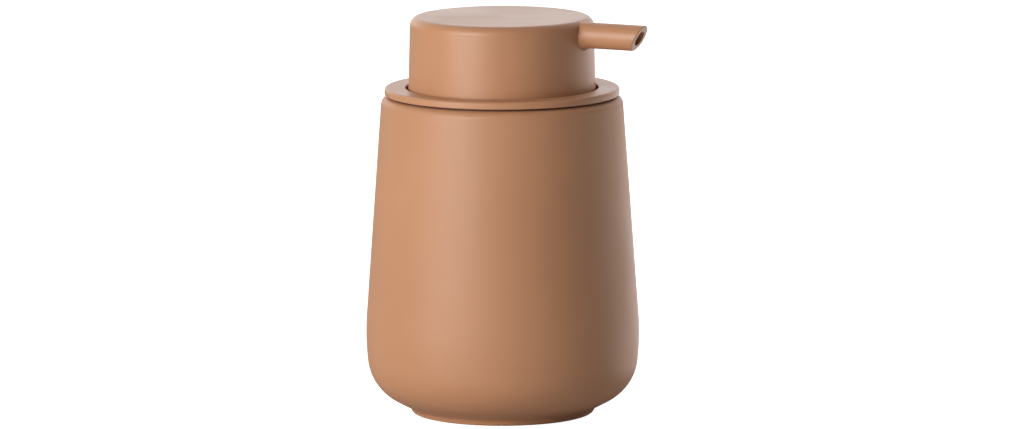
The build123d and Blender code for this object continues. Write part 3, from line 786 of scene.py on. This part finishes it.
def make_floor():
    """Almost white to the camera and greyer as a source of reflected light."""
    mesh = bmesh.new()
    bmesh.ops.create_circle(mesh, cap_ends=True, radius=FLOOR_RADIUS, segments=SMALL_ROUND_STEPS)
    data = bpy.data.meshes.new("floor")
    mesh.to_mesh(data)
    mesh.free()
    floor = bpy.data.objects.new("floor", data)
    scene.collection.objects.link(floor)
    material = bpy.data.materials.new("pale_floor")
    material.use_nodes = True
    tree = material.node_tree
    shader = tree.nodes["Principled BSDF"]
    shader.inputs["Base Color"].default_value = (0.9, 0.9, 0.9, 1)
    shader.inputs["Roughness"].default_value = 0.9
    shader.inputs["Specular IOR Level"].default_value = 0.1
    shader.inputs["Emission Color"].default_value = (1, 1, 1, 1)
    shader.inputs["Emission Strength"].default_value = FLOOR_SEEN_GLOW
    dim = tree.nodes.new("ShaderNodeBsdfDiffuse")
    dim.inputs["Color"].default_value = (FLOOR_LIT_GREY, FLOOR_LIT_GREY, FLOOR_LIT_GREY, 1)
    mixed = tree.nodes.new("ShaderNodeMixShader")
    tree.links.new(tree.nodes.new("ShaderNodeLightPath").outputs["Is Camera Ray"], mixed.inputs[0])
    tree.links.new(dim.outputs[0], mixed.inputs[1])
    tree.links.new(shader.outputs[0], mixed.inputs[2])
    tree.links.new(mixed.outputs[0], tree.nodes["Material Output"].inputs["Surface"])
    data.materials.append(material)


def level_direction(side):
    """A level direction; side is its angle to the right of the camera."""
    turn = CAMERA_TURN + radians(side)
    return Vector((sin(turn), -cos(turn), 0))


def add_lamp(name, width, height, power, location, facing):
    """A flat light with its back to the facing direction, not seen by the camera."""
    light = bpy.data.lights.new(name, "AREA")
    light.shape = "RECTANGLE"
    light.size = width
    light.size_y = height
    light.energy = power
    lamp = bpy.data.objects.new(name, light)
    lamp.location = location
    lamp.rotation_euler = facing.to_track_quat("Z", "Y").to_euler()
    lamp.visible_camera = False
    scene.collection.objects.link(lamp)
    return lamp


def add_softbox(name, side, rise, distance, size, power):
    """A square light aimed at the object."""
    out = level_direction(side) * cos(radians(rise)) + Vector((0, 0, sin(radians(rise))))
    return add_lamp(name, size, size, power, aim + out * distance, out)


def add_floor_sheen(size, power):
    """Bright floor to the right and behind, for the object's reflections; it lights nothing else."""
    centre = (level_direction(90) * FLOOR_SHEEN_SHIFT + level_direction(180)) * size / 2
    centre += Vector((0, 0, FLOOR_SHEEN_HEIGHT))
    lamp = add_lamp("floor_sheen", size, size, power, centre, Vector((0, 0, -1)))
    lamp.rotation_euler.z = CAMERA_TURN
    lamp.visible_diffuse = False


def add_back_sheen(width, height, distance, power):
    """A bright wall low behind, for reflections on the flat tops; it lights nothing else."""
    centre = level_direction(180) * distance + Vector((0, 0, height / 2 + BACK_SHEEN_HEIGHT))
    add_lamp("back_sheen", width, height, power, centre, level_direction(180)).visible_diffuse = False


def make_surroundings():
    """White to look at; as a light, bright behind the object and dim in front of it."""
    world = bpy.data.worlds.new("studio")
    world.use_nodes = True
    scene.world = world
    tree = world.node_tree
    backdrop = tree.nodes["Background"]
    backdrop.inputs["Color"].default_value = (1, 1, 1, 1)
    glow = tree.nodes.new("ShaderNodeBackground")
    direction = tree.nodes.new("ShaderNodeTexCoord").outputs["Generated"]
    along = tree.nodes.new("ShaderNodeVectorMath")
    along.operation = "DOT_PRODUCT"
    tree.links.new(direction, along.inputs[0])
    along.inputs[1].default_value = -towards_camera
    strength = between(tree, along.outputs["Value"], -0.3, 0.8, GLOW_IN_FRONT, GLOW_BEHIND)
    tree.links.new(strength, glow.inputs["Strength"])
    mixed = tree.nodes.new("ShaderNodeMixShader")
    tree.links.new(tree.nodes.new("ShaderNodeLightPath").outputs["Is Camera Ray"], mixed.inputs[0])
    tree.links.new(glow.outputs[0], mixed.inputs[1])
    tree.links.new(backdrop.outputs[0], mixed.inputs[2])
    tree.links.new(mixed.outputs[0], tree.nodes["World Output"].inputs["Surface"])


make_floor()
make_surroundings()
add_softbox("key", side=-45, rise=15, distance=1.3, size=0.9, power=18.5)
add_softbox("rim", side=130, rise=12, distance=1.2, size=0.6, power=4).visible_glossy = False
add_floor_sheen(size=1.2, power=6.2)
add_back_sheen(width=3.0, height=1.0, distance=1.6, power=12)
scene.view_settings.view_transform = "Standard"
